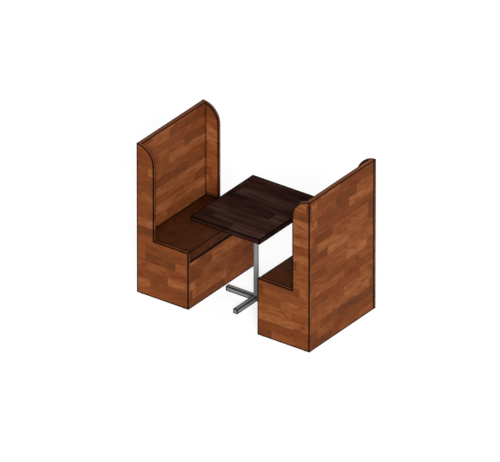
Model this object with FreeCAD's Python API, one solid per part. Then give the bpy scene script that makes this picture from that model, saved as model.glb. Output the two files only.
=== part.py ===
"""Restaurant booth seating: two high-backed benches that face each other across a pedestal table.

Lengths are in millimetres. X runs from the left bench to the right one, Y away from the viewer and Z up.
The origin is on the floor, in the middle of the set.
"""
import FreeCAD
import Part
import math
import os

Vector = FreeCAD.Vector

# Whole set
leg_gap = 610.0                    # from one seat front to the other, across the table
bench_depth = 457.0
bench_width = 813.0
bench_height = 1219.0

# Bench boards
end_panel_thickness = 25.0
arm_height = 465.0                 # top of the low part of an end panel, beside the seat
wing_depth = 152.0                 # the tall part of an end panel, rounded off over its whole depth
front_panel_thickness = 25.0
back_board_thickness = 19.0
backrest_thickness = 19.0
lipping_thickness = 6.0            # strip that covers the top of the two back boards
edge_rounding = 1.5

# Bench inner frame
cleat_width = 25.0
cleat_height = 40.0
bearer_width = 30.0
block_size = 32.0                  # side of the square glue blocks in the corners
bottom_rail_height = 60.0
bottom_rail_thickness = 20.0

# Nail-on floor glides
glide_height = 3.0
glide_radius = 11.0
glide_inset = 45.0                 # from a panel's front or back edge
nail_radius = 1.5
nail_length = 18.0
glide_rounding = 1.0

# Dowels
dowel_radius = 4.0
dowel_length = 30.0
dowel_depth_in_end_panel = 12.0

# Wood screws of the bench frames
screw_radius = 2.0
screw_head_radius = 4.0
screw_head_height = 2.5
screw_length = 40.0
screw_tip_length = 4.0
screw_recess_size = 2.0
screw_recess_depth = 1.2

# Lift-out seat
seat_drop = 3.0                    # the seat's sewn edge lies this far below the end panels' low top
seat_front_setback = 3.0
seat_clearance = 2.5               # between the seat and the boards beside and behind it
seat_board_thickness = 15.0
seat_board_clearance = 1.0         # between the board's edge and the cover's inside
foam_thickness = 61.0              # at the sewn edge, under the crown
cover_thickness = 1.5
cover_hem_width = 24.0             # the cover's turned-under border
crown_height = 9.0
edge_roll_radius = 7.0
side_draw_in = 2.0
rest_gap = 0.3                     # between a lift-out or soft piece and what it rests on
batten_width = 22.0
batten_height = 24.0
batten_clearance = 3.0
batten_screw_length = 30.0

# Upholstery staples
staple_crown = 10.0
staple_wire = 1.0
staple_leg = 7.0
staple_pitch = 88.0

# Table top and its plate
table_length = 610.0               # along X
table_width = 762.0                # along Y
table_height = 760.0
table_thickness = 38.0
table_edge_rounding = 2.5
plate_side = 230.0
plate_thickness = 4.0
plate_corner_radius = 22.0
plate_screw_inset = 22.0
plate_screw_length = 30.0

# Table base
column_radius = 19.0
column_wall = 2.0
foot_span = 510.0                  # from end to end of the cross
foot_width = 38.0
foot_height = 38.0
foot_wall = 2.0
foot_corner_radius = 3.0
cap_flange = 3.0
cap_plug_depth = 12.0

# Screw-in levellers
leveller_pad_height = 3.0
leveller_pad_radius = 14.0
leveller_pad_chamfer = 0.8
leveller_stem_radius = 4.0
leveller_inset = 32.0              # from a foot's end
leveller_travel = 12.0
leveller_stem_spare = 3.0          # thread left above the nut at full travel
leveller_nut_radius = 8.0
leveller_nut_height = 10.0
thread_clearance = 0.05
hole_clearance = 0.5

cut_overrun = 1.0                  # how far every cutting tool runs past what it cuts

# Places worked out from the sizes
overall_length = 2 * bench_depth + leg_gap
back_x = -overall_length / 2
front_x = back_x + bench_depth
half_width = bench_width / 2
inner_y = half_width - end_panel_thickness
seat_rest_z = arm_height - seat_drop - foam_thickness - seat_board_thickness - 2 * cover_thickness
cleat_bottom_z = seat_rest_z - cleat_height
backrest_x = back_x + back_board_thickness
backrest_face_x = backrest_x + backrest_thickness
rear_cleat_face_x = backrest_face_x + cleat_width
front_panel_x = front_x - front_panel_thickness
front_rail_x = front_panel_x - cleat_width
foot_bottom_z = leveller_pad_height + rest_gap
foot_top_z = foot_bottom_z + foot_height
plate_bottom_z = table_height - table_thickness - plate_thickness
leveller_stem_length = (
    rest_gap + foot_wall + leveller_nut_height + leveller_travel + leveller_stem_spare
)


def box(low, high):
    """A block between two corners."""
    size = [b - a for a, b in zip(low, high)]
    return Part.makeBox(*size, Vector(*low))


def board(low, high, rounding=edge_rounding):
    """A block with all its edges eased."""
    block = box(low, high)
    return block.makeFillet(rounding, block.Edges)


def rod(radius, start, direction, length):
    """A round bar from a start point along a direction."""
    return Part.makeCylinder(radius, length, Vector(*start), Vector(*direction))


def group(solids):
    """Several separate solids in one sub-part."""
    return Part.makeCompound(solids)


def cut_all(shape, tools):
    """The shape without the space that each tool takes."""
    for tool in tools:
        shape = shape.cut(tool)
    return shape


def spread(low, high, count):
    """Evenly spaced places from low to high, ends included."""
    step = (high - low) / (count - 1)
    return [low + step * index for index in range(count)]


def screw(start, direction, length):
    """A countersunk wood screw whose head lies flush at start, with its recess, and the same without it."""
    head = Part.makeCone(screw_head_radius, screw_radius, screw_head_height)
    shank = Part.makeCylinder(screw_radius, length - screw_tip_length)
    tip = Part.makeCone(screw_radius, 0, screw_tip_length, Vector(0, 0, length - screw_tip_length))
    body = head.fuse([shank, tip]).removeSplitter()
    half = screw_recess_size / 2
    recess = box((-half, -half, -cut_overrun), (half, half, screw_recess_depth))
    turn = FreeCAD.Rotation(Vector(0, 0, 1), Vector(*direction))
    placement = FreeCAD.Placement(Vector(*start), turn)
    pieces = [body.cut(recess), body]
    for piece in pieces:
        piece.Placement = placement
    return pieces


class Fasteners:
    """Collects fasteners and the spaces that they take in the boards."""

    def __init__(self):
        self.solids = []
        self.spaces = []

    def add_screw(self, start, direction, length):
        solid, space = screw(start, direction, length)
        self.solids.append(solid)
        self.spaces.append(space)

    def add_rod(self, radius, start, direction, length):
        solid = rod(radius, start, direction, length)
        self.solids.append(solid)
        self.spaces.append(solid)


def end_panel_blank(low_y):
    """An end panel: low beside the seat, tall behind it, with the wing's top corner a quarter circle."""
    low_z = glide_height
    arc_start = Vector(back_x + wing_depth, low_y, bench_height - wing_depth)
    arc_centre = Vector(back_x, low_y, bench_height - wing_depth)
    arc_end = Vector(back_x, low_y, bench_height)
    diagonal = wing_depth * math.sqrt(0.5)
    arc_middle = arc_centre + Vector(diagonal, 0, diagonal)
    corners = [
        Vector(back_x, low_y, low_z),
        Vector(front_x, low_y, low_z),
        Vector(front_x, low_y, arm_height),
        Vector(back_x + wing_depth, low_y, arm_height),
        arc_start,
    ]
    edges = [Part.makeLine(a, b) for a, b in zip(corners, corners[1:])]
    edges.append(Part.Arc(arc_start, arc_middle, arc_end).toShape())
    edges.append(Part.makeLine(arc_end, corners[0]))
    face = Part.Face(Part.Wire(edges))
    panel = face.extrude(Vector(0, end_panel_thickness, 0))
    outline = [e for e in panel.Edges if e.BoundBox.YLength < end_panel_thickness / 2]
    return panel.makeFillet(edge_rounding, outline)


def floor_glides():
    """Four nail-on glides under the end panels."""
    glides = Fasteners()
    for side in (-1, 1):
        middle_y = side * (half_width - end_panel_thickness / 2)
        for place_x in (back_x + glide_inset, front_x - glide_inset):
            disc = rod(glide_radius, (place_x, middle_y, 0), (0, 0, 1), glide_height)
            top_edge = [e for e in disc.Edges if e.BoundBox.ZMin > glide_height / 2]
            disc = disc.makeFillet(glide_rounding, top_edge)
            nail = rod(nail_radius, (place_x, middle_y, glide_height), (0, 0, 1), nail_length)
            glides.solids.append(disc.fuse(nail).removeSplitter())
            glides.spaces.append(nail)
    return glides


def panel_dowels():
    """Dowels from the end panels into the front and back boards, and from the rails into the bearer."""
    dowels = Fasteners()
    depth_in_board = dowel_length - dowel_depth_in_end_panel
    front_x_middle = front_panel_x + front_panel_thickness / 2
    back_x_middle = back_x + back_board_thickness / 2
    edge_distance = 2 * block_size
    front_heights = spread(glide_height + edge_distance, seat_rest_z - edge_distance, 3)
    back_heights = spread(glide_height + edge_distance, bench_height - edge_distance, 5)
    places = [(front_x_middle, z) for z in front_heights] + [(back_x_middle, z) for z in back_heights]
    for side in (-1, 1):
        for place_x, place_z in places:
            start = (place_x, side * (inner_y - depth_in_board), place_z)
            dowels.add_rod(dowel_radius, start, (0, side, 0), dowel_length)
    bearer_z = seat_rest_z - cleat_height / 2
    for place_x in (rear_cleat_face_x, front_rail_x):
        start = (place_x - dowel_length / 2, 0, bearer_z)
        dowels.add_rod(dowel_radius, start, (1, 0, 0), dowel_length)
    return dowels


def frame_screws():
    """Screws from the cleats, rails and corner blocks into the boards around them."""
    screws = Fasteners()
    cleat_z = seat_rest_z - cleat_height / 2
    side_cleat_places = spread(rear_cleat_face_x + 2 * cleat_width, front_rail_x - 2 * cleat_width, 3)
    rail_places = spread(-inner_y + 4 * cleat_width, inner_y - 4 * cleat_width, 4)
    for side in (-1, 1):
        for place_x in side_cleat_places:
            start = (place_x, side * (inner_y - cleat_width), cleat_z)
            screws.add_screw(start, (0, side, 0), screw_length)
    for place_y in rail_places:
        screws.add_screw((rear_cleat_face_x, place_y, cleat_z), (-1, 0, 0), screw_length)
        screws.add_screw((front_rail_x, place_y, cleat_z), (1, 0, 0), screw_length)
    block_low = glide_height + block_size
    block_high = cleat_bottom_z - block_size
    apart = 2 * screw_head_radius
    for side in (-1, 1):
        middle_y = side * (inner_y - block_size / 2)
        face_y = side * (inner_y - block_size)
        for outward, board_x in ((-1, backrest_x), (1, front_panel_x)):
            middle_x = board_x - outward * block_size / 2
            face_x = board_x - outward * block_size
            for place_z in (block_low, block_high):
                screws.add_screw((middle_x, face_y, place_z), (0, side, 0), screw_length)
                screws.add_screw((face_x, middle_y, place_z + apart), (outward, 0, 0), screw_length)
    return screws


def corner_blocks():
    """Square glue blocks inside the bench's four upright corners."""
    blocks = []
    for side in (-1, 1):
        low_y, high_y = sorted((side * inner_y, side * (inner_y - block_size)))
        for low_x in (backrest_x, front_panel_x - block_size):
            low = (low_x, low_y, glide_height)
            high = (low_x + block_size, high_y, cleat_bottom_z)
            blocks.append(box(low, high))
    return group(blocks)


def side_cleats():
    """The cleats on the two end panels that carry the seat's sides."""
    cleats = []
    for side in (-1, 1):
        low_y, high_y = sorted((side * inner_y, side * (inner_y - cleat_width)))
        low = (rear_cleat_face_x, low_y, cleat_bottom_z)
        cleats.append(box(low, (front_rail_x, high_y, seat_rest_z)))
    return group(cleats)


def bench_carcass():
    """The fixed pieces of the left bench by name."""
    glides = floor_glides()
    dowels = panel_dowels()
    screws = frame_screws()
    spaces = glides.spaces + dowels.spaces + screws.spaces
    lipping_z = bench_height - lipping_thickness
    block_inner_y = inner_y - block_size
    pieces = {
        "near_end_panel": end_panel_blank(-half_width),
        "far_end_panel": end_panel_blank(inner_y),
        "front_panel": board(
            (front_panel_x, -inner_y, glide_height),
            (front_x, inner_y, seat_rest_z),
        ),
        "back_panel": board(
            (back_x, -inner_y, glide_height),
            (backrest_x, inner_y, lipping_z),
        ),
        "backrest_panel": board(
            (backrest_x, -inner_y, cleat_bottom_z),
            (backrest_face_x, inner_y, lipping_z),
        ),
        "back_top_lipping": board(
            (back_x, -inner_y, lipping_z),
            (backrest_face_x, inner_y, bench_height),
        ),
        "back_bottom_rail": box(
            (backrest_x, -block_inner_y, glide_height),
            (backrest_x + bottom_rail_thickness, block_inner_y, glide_height + bottom_rail_height),
        ),
        "seat_rear_cleat": box(
            (backrest_face_x, -inner_y, cleat_bottom_z),
            (rear_cleat_face_x, inner_y, seat_rest_z),
        ),
        "seat_front_rail": box(
            (front_rail_x, -inner_y, cleat_bottom_z),
            (front_panel_x, inner_y, seat_rest_z),
        ),
        "seat_centre_bearer": box(
            (rear_cleat_face_x, -bearer_width / 2, cleat_bottom_z),
            (front_rail_x, bearer_width / 2, seat_rest_z),
        ),
        "seat_side_cleats": side_cleats(),
        "corner_blocks": corner_blocks(),
    }
    pieces = {name: cut_all(shape, spaces) for name, shape in pieces.items()}
    pieces["floor_glides"] = group(glides.solids)
    pieces["panel_dowels"] = group(dowels.solids)
    pieces["frame_screws"] = group(screws.solids)
    return pieces


def cushion_section(place_y, inset, low_z):
    """The seat's outline across its depth at one place along the bench."""
    half_length = inner_y - seat_clearance
    share = place_y / half_length
    belly = 1 - share * share
    draw_in = side_draw_in * belly
    rear = backrest_face_x + seat_clearance + inset + draw_in
    front = front_x - seat_front_setback - inset - draw_in
    edge_z = arm_height - seat_drop - inset
    crown = crown_height * belly + cover_thickness
    roll = edge_roll_radius
    rest = roll * (1 - math.sqrt(0.5))

    def point(x, z):
        return Vector(x, place_y, z)

    def arc(a, b, c):
        return Part.Arc(a, b, c).toShape()

    rear_low, front_low = point(rear, low_z), point(front, low_z)
    rear_side, front_side = point(rear, edge_z - roll), point(front, edge_z - roll)
    rear_top, front_top = point(rear + roll, edge_z), point(front - roll, edge_z)
    edges = [
        Part.makeLine(rear_low, front_low),
        Part.makeLine(front_low, front_side),
        arc(front_side, point(front - rest, edge_z - rest), front_top),
        arc(front_top, point((rear + front) / 2, edge_z + crown), rear_top),
        arc(rear_top, point(rear + rest, edge_z - rest), rear_side),
        Part.makeLine(rear_side, rear_low),
    ]
    return Part.Wire(edges)


def cushion_form(inset, low_z):
    """The crowned, drawn-in form of the seat, taken in on all sides by inset."""
    end_y = inner_y - seat_clearance - inset
    stations = spread(-end_y, end_y, 5)
    return Part.makeLoft([cushion_section(y, inset, low_z) for y in stations], True, False)


def cover_staples(hem_z):
    """Staples that hold the cover's hem to the underside of the seat board."""
    staples = Fasteners()
    rear = backrest_face_x + seat_clearance
    front = front_x - seat_front_setback
    half_length = inner_y - seat_clearance
    inset = cover_hem_width / 2 + cover_thickness
    row_y = half_length - inset
    row_count = int((2 * row_y - cover_hem_width) // staple_pitch) + 1
    column_count = int((front - rear - 2 * inset - cover_hem_width) // staple_pitch) + 1
    along_y = spread(-row_y + cover_hem_width, row_y - cover_hem_width, row_count)
    along_x = spread(rear + inset + cover_hem_width, front - inset - cover_hem_width, column_count)
    half_wire = staple_wire / 2

    def staple(middle_x, middle_y, half_x, half_y):
        low_x, high_x = middle_x - half_x, middle_x + half_x
        low_y, high_y = middle_y - half_y, middle_y + half_y
        top_z = hem_z + staple_wire
        crown = box((low_x, low_y, hem_z), (high_x, high_y, top_z))
        legs = []
        for end in (-1, 1):
            leg_x = middle_x + end * max(half_x - half_wire, 0)
            leg_y = middle_y + end * max(half_y - half_wire, 0)
            leg_low = (leg_x - half_wire, leg_y - half_wire, hem_z)
            leg_high = (leg_x + half_wire, leg_y + half_wire, hem_z + staple_leg)
            legs.append(box(leg_low, leg_high))
        solid = crown.fuse(legs).removeSplitter()
        staples.solids.append(solid)
        staples.spaces.append(solid)

    for edge_x in (rear + inset, front - inset):
        for place_y in along_y:
            staple(edge_x, place_y, half_wire, staple_crown / 2)
    for edge_y in (-row_y, row_y):
        for place_x in along_x:
            staple(place_x, edge_y, staple_crown / 2, half_wire)
    return staples


def bench_seat():
    """The pieces of the left bench's lift-out seat by name."""
    hem_z = seat_rest_z + rest_gap
    board_z = hem_z + cover_thickness
    foam_z = board_z + seat_board_thickness
    rear = backrest_face_x + seat_clearance
    front = front_x - seat_front_setback
    half_length = inner_y - seat_clearance
    board_inset = cover_thickness + side_draw_in + seat_board_clearance
    staples = cover_staples(hem_z)
    screws = Fasteners()
    battens = []
    batten_top_z = board_z
    batten_low_z = batten_top_z - batten_height
    batten_rear = rear_cleat_face_x + batten_clearance
    batten_front = front_rail_x - batten_clearance
    for side in (-1, 1):
        outer_y = side * (inner_y - cleat_width - batten_clearance)
        inward_y = outer_y - side * batten_width
        low_y, high_y = sorted((outer_y, inward_y))
        battens.append(box((batten_rear, low_y, batten_low_z), (batten_front, high_y, batten_top_z)))
        for place_x in spread(batten_rear + 2 * batten_width, batten_front - 2 * batten_width, 3):
            start = (place_x, (low_y + high_y) / 2, batten_low_z)
            screws.add_screw(start, (0, 0, 1), batten_screw_length)
    seat_board = box(
        (rear + board_inset, -half_length + board_inset, board_z),
        (front - board_inset, half_length - board_inset, foam_z),
    )
    foam = cushion_form(cover_thickness + rest_gap, foam_z)
    cover = cushion_form(0, hem_z).cut(cushion_form(cover_thickness, board_z))
    opening = box(
        (rear + cover_hem_width, -half_length + cover_hem_width, hem_z - cut_overrun),
        (front - cover_hem_width, half_length - cover_hem_width, board_z + cut_overrun),
    )
    cover = cover.cut(opening)
    return {
        "seat_board": cut_all(seat_board, staples.spaces + screws.spaces),
        "seat_foam": foam,
        "seat_cover": cut_all(cover, staples.spaces),
        "cover_staples": group(staples.solids),
        "seat_battens": group([cut_all(batten, screws.spaces) for batten in battens]),
        "batten_screws": group(screws.solids),
    }


def square_tube(length):
    """A square steel tube along X, centred on X and Y, with its underside at z = 0."""
    half_length, half_width_y = length / 2, foot_width / 2
    outer = box((-half_length, -half_width_y, 0), (half_length, half_width_y, foot_height))
    long_edges = [e for e in outer.Edges if e.BoundBox.XLength > length / 2]
    outer = outer.makeFillet(foot_corner_radius, long_edges)
    low = (-half_length - cut_overrun, -half_width_y + foot_wall, foot_wall)
    high = (half_length + cut_overrun, half_width_y - foot_wall, foot_height - foot_wall)
    inner = box(low, high)
    inner_edges = [e for e in inner.Edges if e.BoundBox.XLength > length / 2]
    return outer.cut(inner.makeFillet(foot_corner_radius - foot_wall, inner_edges))


def end_cap():
    """A push-in cap for a foot, pointing along +X with its outer face at x = 0."""
    half_width_y = foot_width / 2
    flange = box((-cap_flange, -half_width_y, 0), (0, half_width_y, foot_height))
    corners = [e for e in flange.Edges if e.BoundBox.XLength > cap_flange / 2]
    flange = flange.makeFillet(foot_corner_radius, corners)
    low = (-cap_flange - cap_plug_depth, -half_width_y + foot_wall, foot_wall)
    high = (-cap_flange, half_width_y - foot_wall, foot_height - foot_wall)
    plug = box(low, high)
    plug_edges = [e for e in plug.Edges if e.BoundBox.XLength > cap_plug_depth / 2]
    plug = plug.makeFillet(foot_corner_radius - foot_wall, plug_edges)
    return flange.fuse(plug).removeSplitter()


def turned(shape, angle, move):
    """The shape turned about Z by an angle in degrees, then moved."""
    copy = shape.copy()
    copy.rotate(Vector(0, 0, 0), Vector(0, 0, 1), angle)
    copy.translate(Vector(*move))
    return copy


def leveller(place_x, place_y):
    """A levelling foot: a round pad on a threaded stem."""
    pad = rod(leveller_pad_radius, (place_x, place_y, 0), (0, 0, 1), leveller_pad_height)
    top_edge = [e for e in pad.Edges if e.BoundBox.ZMin > leveller_pad_height / 2]
    pad = pad.makeChamfer(leveller_pad_chamfer, top_edge)
    start = (place_x, place_y, leveller_pad_height)
    stem = rod(leveller_stem_radius, start, (0, 0, 1), leveller_stem_length)
    return pad.fuse(stem).removeSplitter()


def leveller_nut(place_x, place_y):
    """A round weld nut on the inside of a foot's lower wall."""
    start = (place_x, place_y, foot_bottom_z + foot_wall)
    nut = rod(leveller_nut_radius, start, (0, 0, 1), leveller_nut_height)
    low = (place_x, place_y, foot_bottom_z)
    bore = rod(leveller_stem_radius + thread_clearance, low, (0, 0, 1), foot_height)
    return nut.cut(bore)


def table_pieces():
    """The pieces of the pedestal table by name."""
    half_span = foot_span / 2
    tube_end = half_span - cap_flange
    short_length = tube_end - foot_width / 2
    short_middle = (tube_end + foot_width / 2) / 2
    leveller_place = half_span - leveller_inset
    places = {
        "left": (-leveller_place, 0),
        "right": (leveller_place, 0),
        "near": (0, -leveller_place),
        "far": (0, leveller_place),
    }
    holes = []
    for place_x, place_y in places.values():
        start = (place_x, place_y, foot_bottom_z - cut_overrun)
        hole_length = foot_wall + 2 * cut_overrun
        holes.append(rod(leveller_stem_radius + hole_clearance, start, (0, 0, 1), hole_length))
    long_foot = turned(square_tube(2 * tube_end), 0, (0, 0, foot_bottom_z))
    near_foot = turned(square_tube(short_length), 90, (0, -short_middle, foot_bottom_z))
    far_foot = turned(square_tube(short_length), 90, (0, short_middle, foot_bottom_z))
    caps = []
    for angle in (0, 90, 180, 270):
        direction = math.radians(angle)
        move = (half_span * math.cos(direction), half_span * math.sin(direction), foot_bottom_z)
        caps.append(turned(end_cap(), angle, move))
    column_length = plate_bottom_z - foot_top_z
    column = rod(column_radius, (0, 0, foot_top_z), (0, 0, 1), column_length)
    bore = rod(column_radius - column_wall, (0, 0, foot_top_z), (0, 0, 1), column_length)
    half_plate = plate_side / 2
    plate_top_z = plate_bottom_z + plate_thickness
    plate = box((-half_plate, -half_plate, plate_bottom_z), (half_plate, half_plate, plate_top_z))
    plate_corners = [e for e in plate.Edges if e.BoundBox.ZLength > plate_thickness / 2]
    plate = plate.makeFillet(plate_corner_radius, plate_corners)
    screws = Fasteners()
    screw_place = half_plate - plate_screw_inset
    for place_x in (-screw_place, screw_place):
        for place_y in (-screw_place, screw_place):
            screws.add_screw((place_x, place_y, plate_bottom_z), (0, 0, 1), plate_screw_length)
    half_x, half_y = table_length / 2, table_width / 2
    top = board((-half_x, -half_y, plate_top_z), (half_x, half_y, table_height), table_edge_rounding)
    pieces = {
        "table_top": cut_all(top, screws.spaces),
        "table_top_plate": cut_all(plate, screws.spaces),
        "table_plate_screws": group(screws.solids),
        "table_column": column.cut(bore),
        "table_long_foot": cut_all(long_foot, holes),
        "table_near_foot": cut_all(near_foot, holes),
        "table_far_foot": cut_all(far_foot, holes),
        "table_foot_caps": group(caps),
        "table_leveller_nuts": group([leveller_nut(*place) for place in places.values()]),
    }
    for side, place in places.items():
        pieces["table_leveller_" + side] = leveller(*place)
    return pieces


def export(name, shape):
    """Writes one sub-part and says what it holds."""
    problem = "" if shape.isValid() else "NOT VALID"
    shape.exportStep("parts/" + name + ".step")
    print(name, len(shape.Solids), "solids", round(shape.Volume / 1000, 1), "cm3", problem)


os.makedirs("parts", exist_ok=True)
bench = {**bench_carcass(), **bench_seat()}
for piece_name, piece in bench.items():
    export("left_" + piece_name, piece)
    export("right_" + piece_name, piece.mirror(Vector(0, 0, 0), Vector(1, 0, 0)))
for piece_name, piece in table_pieces().items():
    export(piece_name, piece)
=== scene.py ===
import math

import bmesh
import bpy
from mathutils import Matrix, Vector
from mathutils.bvhtree import BVHTree


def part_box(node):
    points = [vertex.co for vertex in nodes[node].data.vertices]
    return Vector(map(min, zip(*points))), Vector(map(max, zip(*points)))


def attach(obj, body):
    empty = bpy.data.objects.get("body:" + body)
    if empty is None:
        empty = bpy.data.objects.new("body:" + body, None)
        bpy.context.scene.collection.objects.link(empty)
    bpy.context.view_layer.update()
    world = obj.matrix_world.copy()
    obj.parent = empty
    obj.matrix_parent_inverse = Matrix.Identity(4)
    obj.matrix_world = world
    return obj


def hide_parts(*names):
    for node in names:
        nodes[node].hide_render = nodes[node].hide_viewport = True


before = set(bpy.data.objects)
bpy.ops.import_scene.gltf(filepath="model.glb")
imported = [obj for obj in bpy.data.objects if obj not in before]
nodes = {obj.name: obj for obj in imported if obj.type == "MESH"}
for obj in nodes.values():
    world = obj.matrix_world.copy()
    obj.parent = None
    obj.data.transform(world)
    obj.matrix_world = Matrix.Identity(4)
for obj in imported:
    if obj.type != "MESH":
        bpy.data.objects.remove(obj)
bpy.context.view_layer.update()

# Bench boards: end panels, front and back boards, backrests and the strips over the backs.
# Block-laminated hardwood: short staves glued edge to edge and end to end, planed and lacquered satin.
# The staves lie level on every board, and the eased edges are rubbed dark.

wing_depth = 0.152
arm_height = 0.465
flush_reach = 0.006                # how near an end panel's edge is to a board that meets it flush
stave_width = 0.070
stave_shortest = 0.19
stave_longest = 0.46
stave_shift = 3                    # how far apart the staves' patterns are taken, so that no two are alike
row_shift = 10                     # how many staves the rows are moved by at most
panel_keys = (2, 5, 0)             # what a piece's side along X and along Y changes its pattern's seed by
board_keys = (3, 0, 0)
noise_range = (0.3, 0.7)           # a noise texture hardly leaves it
stave_spread = 0.8                 # how much of the tones the staves differ by
glue_line = 0.0007
glue_cover = 0.6
pore_length = 0.060
pore_width = 0.0016                # drawn coarser than real pores, which are too fine to show
pore_depth = 0.0004
figure_length = 0.11
figure_width = 0.026
figure_spread = (-0.08, 0.28)      # what the figure takes from a stave's tone and adds to it
blush_size = (0.11, 0.055, 0.034375)
dark_edge = 0.0100                 # how wide the rubbed colour is on each side of an edge
edge_fade = 0.35                   # over how much of its width, in and out, the rubbed colour fades
thin_line = 1.5                    # how much narrower it is on a board's edges
corner_shade_reach = 0.014                # how far the painted shade of an inside corner reaches
corner_shade_cover = 0.85
corner_open = 0.92                 # the open share of the view at which the painted shade starts
corner_closed = 0.6                # and the one at which it is full
board_tones = ["#56321D", "#69391C", "#743E1F", "#7D4423", "#874E2A", "#9A5D37"]
board_dark = "#45200F"
# the dark of the rubbed edges, and also of the painted shade in inside corners
board_edge_and_shade = "#080301"
board_blush = ("#6A2C14", 0.52, 0.72, 0.75)    # shade, pattern's value for none and for all, and cover
board_streak = (board_dark, 0.5, 0.8, 0.45)
board_roughness = (0.42, 0.62)


def linear(shade):
    """A hex sRGB colour as linear red, green, blue and alpha."""
    channels = [int(shade[i:i + 2], 16) / 255 for i in (1, 3, 5)]
    return [c / 12.92 if c <= 0.04045 else ((c + 0.055) / 1.055) ** 2.4 for c in channels] + [1]


def add(tree, kind, inputs=(), shades=(), **settings):
    """Adds a node. Its inputs, in its own order or by name, are values, sockets or nodes, whose first output
    is meant. A colour ramp runs through evenly spaced shades."""
    node = tree.nodes.new(kind)
    for name, value in settings.items():
        setattr(node, name, value)
    for key, value in inputs.items() if isinstance(inputs, dict) else enumerate(inputs):
        if isinstance(value, bpy.types.Node):
            value = value.outputs[0]
        if isinstance(value, bpy.types.NodeSocket):
            tree.links.new(value, node.inputs[key])
        else:
            node.inputs[key].default_value = value
    while shades and len(node.color_ramp.elements) < len(shades):
        node.color_ramp.elements.new(0.5)
    for index, shade in enumerate(shades):
        stop = node.color_ramp.elements[index]
        stop.position = index / (len(shades) - 1)
        stop.color = linear(shade)
    return node


def blank(owner):
    """The node tree of a new material or world, emptied."""
    owner.use_nodes = True
    owner.node_tree.nodes.clear()
    return owner.node_tree


def coat(tree, looks):
    """Ends a material's tree with its surface shader."""
    shader = add(tree, "ShaderNodeBsdfPrincipled", looks)
    add(tree, "ShaderNodeOutputMaterial", {"Surface": shader})


def tinted(tree, colour, pattern, shade, none_at=0, full_at=1, cover=1):
    """The colour with a shade laid over it, from none to its full cover as the pattern's value changes."""
    share = add(tree, "ShaderNodeMapRange", [pattern, none_at, full_at, 0, cover])
    factor, under, over, result = 0, 6, 7, 2       # the sockets of a Mix node that mixes colours
    mix = add(tree, "ShaderNodeMix", {factor: share, under: colour, over: linear(shade)}, data_type="RGBA")
    return mix.outputs[result]


def from_faces(tree, place, low, high, narrower=(1, 1, 1)):
    """How far inside a box each pair of its faces is, and how much narrower a line along them is drawn."""
    middle = [(a + b) / 2 for a, b in zip(low, high)]
    half = [(b - a) / 2 for a, b in zip(low, high)]
    offset = add(tree, "ShaderNodeVectorMath", [place, middle], operation="SUBTRACT")
    offset = add(tree, "ShaderNodeVectorMath", [offset], operation="ABSOLUTE")
    inside = add(tree, "ShaderNodeVectorMath", [half, offset], operation="SUBTRACT")
    inside = add(tree, "ShaderNodeVectorMath", [inside, narrower], operation="MULTIPLY")
    return list(add(tree, "ShaderNodeSeparateXYZ", [inside]).outputs)


def rubbed_edges(tree, colour, distances, shade, width):
    """The colour with a dark line where a point is near two faces at once, which is along the arrises."""
    nearest = add(tree, "ShaderNodeMath", distances[:2], operation="MINIMUM")
    second = add(tree, "ShaderNodeMath", distances[:2], operation="MAXIMUM")
    for distance in distances[2:]:
        further = add(tree, "ShaderNodeMath", [nearest, distance], operation="MAXIMUM")
        second = add(tree, "ShaderNodeMath", [second, further], operation="MINIMUM")
        nearest = add(tree, "ShaderNodeMath", [nearest, distance], operation="MINIMUM")
    return tinted(tree, colour, second, shade, (1 + edge_fade) * width, (1 - edge_fade) * width)


def painted_corner_shade(tree, colour, reach, shade, cover):
    """The colour with painted shade, a darker line where another surface comes close, as in an inside corner.
    """
    open_share = add(tree, "ShaderNodeAmbientOcclusion", {"Distance": reach}, samples=6).outputs["AO"]
    return tinted(tree, colour, open_share, shade, corner_open, corner_closed, cover)


def staves(tree, run, rise, key, width, shortest, longest):
    """Rows of blocks that end at random: a block's random numbers, and the way to the nearest glue line."""
    row_place = add(tree, "ShaderNodeMath", [rise, width], operation="DIVIDE")
    row = add(tree, "ShaderNodeMath", [row_place], operation="FLOOR")
    row_key = add(tree, "ShaderNodeCombineXYZ", [row, key])
    row_random = add(tree, "ShaderNodeTexWhiteNoise", {"Vector": row_key}).outputs["Color"]
    for_length, for_start = add(tree, "ShaderNodeSeparateColor", [row_random]).outputs[:2]
    length = add(tree, "ShaderNodeMapRange", [for_length, 0, 1, shortest, longest])
    start = add(tree, "ShaderNodeMath", [for_start, row_shift], operation="MULTIPLY")
    run_place = add(tree, "ShaderNodeMath", [run, length], operation="DIVIDE")
    run_place = add(tree, "ShaderNodeMath", [run_place, start], operation="ADD")
    block = add(tree, "ShaderNodeMath", [run_place], operation="FLOOR")
    block_key = add(tree, "ShaderNodeCombineXYZ", [row, block, key])
    block_random = add(tree, "ShaderNodeTexWhiteNoise", {"Vector": block_key}).outputs
    from_row = add(tree, "ShaderNodeMath", [row_place, 0.5], operation="PINGPONG")
    from_row = add(tree, "ShaderNodeMath", [from_row, width], operation="MULTIPLY")
    from_end = add(tree, "ShaderNodeMath", [run_place, 0.5], operation="PINGPONG")
    from_end = add(tree, "ShaderNodeMath", [from_end, length], operation="MULTIPLY")
    return block_random, add(tree, "ShaderNodeMath", [from_row, from_end], operation="MINIMUM")


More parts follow.
